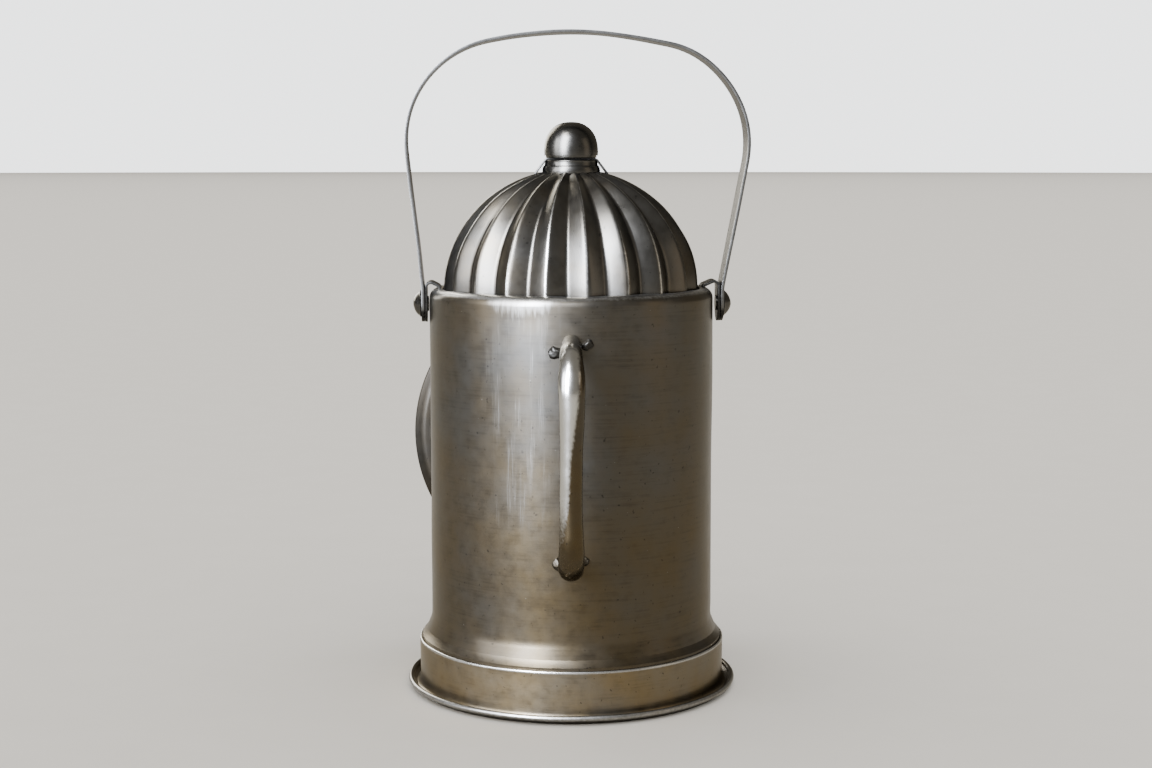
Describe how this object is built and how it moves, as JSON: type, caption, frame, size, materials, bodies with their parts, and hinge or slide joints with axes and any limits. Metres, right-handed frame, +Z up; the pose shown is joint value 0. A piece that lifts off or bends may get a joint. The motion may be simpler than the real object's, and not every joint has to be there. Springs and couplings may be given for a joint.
{
  "type": "candle lantern",
  "caption": "Round sheet-metal candle lantern with a fluted domed roof, ball finial, strip bail, rear grip handle and a hinged round glazed door.",
  "frame": {"origin": "middle of the base dish's underside, on the case axis", "axes": "+Z up along the case axis, -Y out of the glazed door, +X towards the lantern's own left bail pivot"},
  "size_m": [0.1819, 0.2211, 0.3469],
  "materials": {
    "pewtered_iron": "antique pewter wash, satin, brushed through in places",
    "strap_iron": "dark pewter wash, worn bright along the edges",
    "fluted_roof": "antique pewter, ridges rubbed bright",
    "turned_metal": "burnished pewter wash",
    "rivet_metal": "burnished pewter wash",
    "handle_metal": "burnished pewter over bronze-brown shading",
    "lens_glass": "clear pressed glass",
    "spring_steel": "plain spring steel",
    "hinge_metal": "antique pewter wash",
    "candle_seat": "antique pewter wash, dull"
  },
  "bodies": {
    "case": {"body_shell": "pewtered_iron", "base_band": "pewtered_iron", "base_dish": "pewtered_iron", "dome_roof": "fluted_roof", "chimney_collar": "turned_metal", "bridge_strap": "strap_iron", "finial": "turned_metal", "finial_screw": "turned_metal", "ear_bracket_left": "strap_iron", "ear_bracket_right": "strap_iron", "bail_rivet_left": "rivet_metal", "bail_rivet_right": "rivet_metal", "rear_handle": "handle_metal", "handle_welds": "handle_metal", "front_drum": "pewtered_iron", "hinge_leaf_drum": "hinge_metal", "hinge_pin": "rivet_metal", "hinge_rivets": "rivet_metal", "catch_spring": "spring_steel", "catch_rivet": "rivet_metal", "candle_plate": "candle_seat", "candle_spike": "candle_seat"},
    "bail": {"bail": "strap_iron"},
    "door": {"door_bezel": "pewtered_iron", "door_glass": "lens_glass", "glass_snap_ring": "spring_steel", "hinge_leaf_door": "hinge_metal", "door_rivet": "rivet_metal", "door_knob": "turned_metal", "catch_lug": "hinge_metal"}
  },
  "joints": [
    {"name": "bail_swing", "type": "hinge", "parent": "case", "child": "bail", "pos_m": [0, 0, 0.2046], "axis": [-1, 0, 0], "range_deg": [-82, 95]},
    {"name": "door_hinge", "type": "hinge", "parent": "case", "child": "door", "pos_m": [-0.0735, -0.089, 0.122], "axis": [0, 0, -1], "range_deg": [0, 105]}
  ]
}
